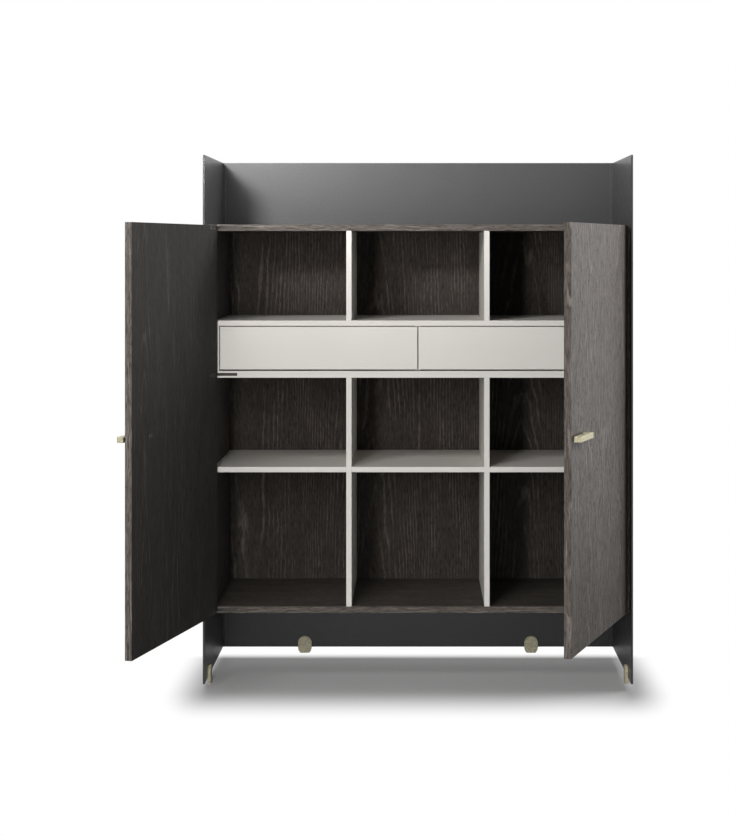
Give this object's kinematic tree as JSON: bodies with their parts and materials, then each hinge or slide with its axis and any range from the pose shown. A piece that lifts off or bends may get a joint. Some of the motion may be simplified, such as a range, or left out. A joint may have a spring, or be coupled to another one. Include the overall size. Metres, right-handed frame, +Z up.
{
  "type": "buffet cabinet",
  "caption": "Two-door buffet cabinet: an oak carcass with drawers and compartments, held between the tall sides of a thin sheet metal shell on small plate feet.",
  "frame": {"origin": "on the floor, under the middle of the shell's width and depth", "axes": "+Z up, -Y to the front where the doors open, +X to the right as seen from the front"},
  "size_m": [1.3467, 1.018, 1.494],
  "materials": {
    "shell_metal": "satin dark grey powder coat",
    "dark_oak": "stained, fine open grain, matt",
    "lacquer": "warm light grey matt lacquer on board",
    "champagne_brass": "satin",
    "dark_hinge_metal": "satin black",
    "zinc_steel": "zinc plated",
    "beech": "raw"
  },
  "bodies": {
    "cabinet": {"back_sheet": "shell_metal", "left_side_sheet": "shell_metal", "right_side_sheet": "shell_metal", "left_foot": "champagne_brass", "right_foot": "champagne_brass", "back_left_foot": "champagne_brass", "back_right_foot": "champagne_brass", "foot_screws": "champagne_brass", "top_panel": "dark_oak", "bottom_panel": "dark_oak", "left_panel": "dark_oak", "right_panel": "dark_oak", "back_panel": "dark_oak", "shell_screws": "dark_hinge_metal", "carcass_dowels": "beech", "interior_dowels": "beech", "left_upper_divider": "lacquer", "right_upper_divider": "lacquer", "left_lower_divider": "lacquer", "right_lower_divider": "lacquer", "left_shelf": "lacquer", "middle_shelf": "lacquer", "right_shelf": "lacquer", "drawer_bay_top": "lacquer", "drawer_bay_floor": "lacquer", "drawer_bay_left_side": "lacquer", "drawer_bay_right_side": "lacquer", "drawer_bay_partition": "lacquer", "runner_channels": "zinc_steel", "runner_screws": "zinc_steel", "left_drawer_front": "lacquer", "left_drawer_outer_side": "lacquer", "left_drawer_inner_side": "lacquer", "left_drawer_back": "lacquer", "left_drawer_bottom": "lacquer", "left_drawer_rails": "zinc_steel", "left_drawer_dowels": "beech", "right_drawer_front": "lacquer", "right_drawer_outer_side": "lacquer", "right_drawer_inner_side": "lacquer", "right_drawer_back": "lacquer", "right_drawer_bottom": "lacquer", "right_drawer_rails": "zinc_steel", "right_drawer_dowels": "beech", "left_hinge_plates": "dark_hinge_metal", "right_hinge_plates": "dark_hinge_metal", "hinge_plate_screws": "dark_hinge_metal"},
    "left_door": {"left_door_panel": "dark_oak", "left_door_handle": "champagne_brass", "left_door_handle_screws": "dark_hinge_metal", "left_door_hinge_cups": "dark_hinge_metal", "left_door_hinge_pins": "zinc_steel", "left_door_cup_screws": "dark_hinge_metal"},
    "right_door": {"right_door_panel": "dark_oak", "right_door_handle": "champagne_brass", "right_door_handle_screws": "dark_hinge_metal", "right_door_hinge_cups": "dark_hinge_metal", "right_door_hinge_pins": "zinc_steel", "right_door_cup_screws": "dark_hinge_metal"}
  },
  "joints": [
    {"name": "left_door_hinge", "type": "hinge", "parent": "cabinet", "child": "left_door", "pos_m": [-0.5765, -0.225, 0.8795], "axis": [0, 0, -1], "range_deg": [-104.5, 5.5]},
    {"name": "right_door_hinge", "type": "hinge", "parent": "cabinet", "child": "right_door", "pos_m": [0.5765, -0.225, 0.8795], "axis": [0, 0, 1], "range_deg": [-69.6, 40.4]}
  ]
}
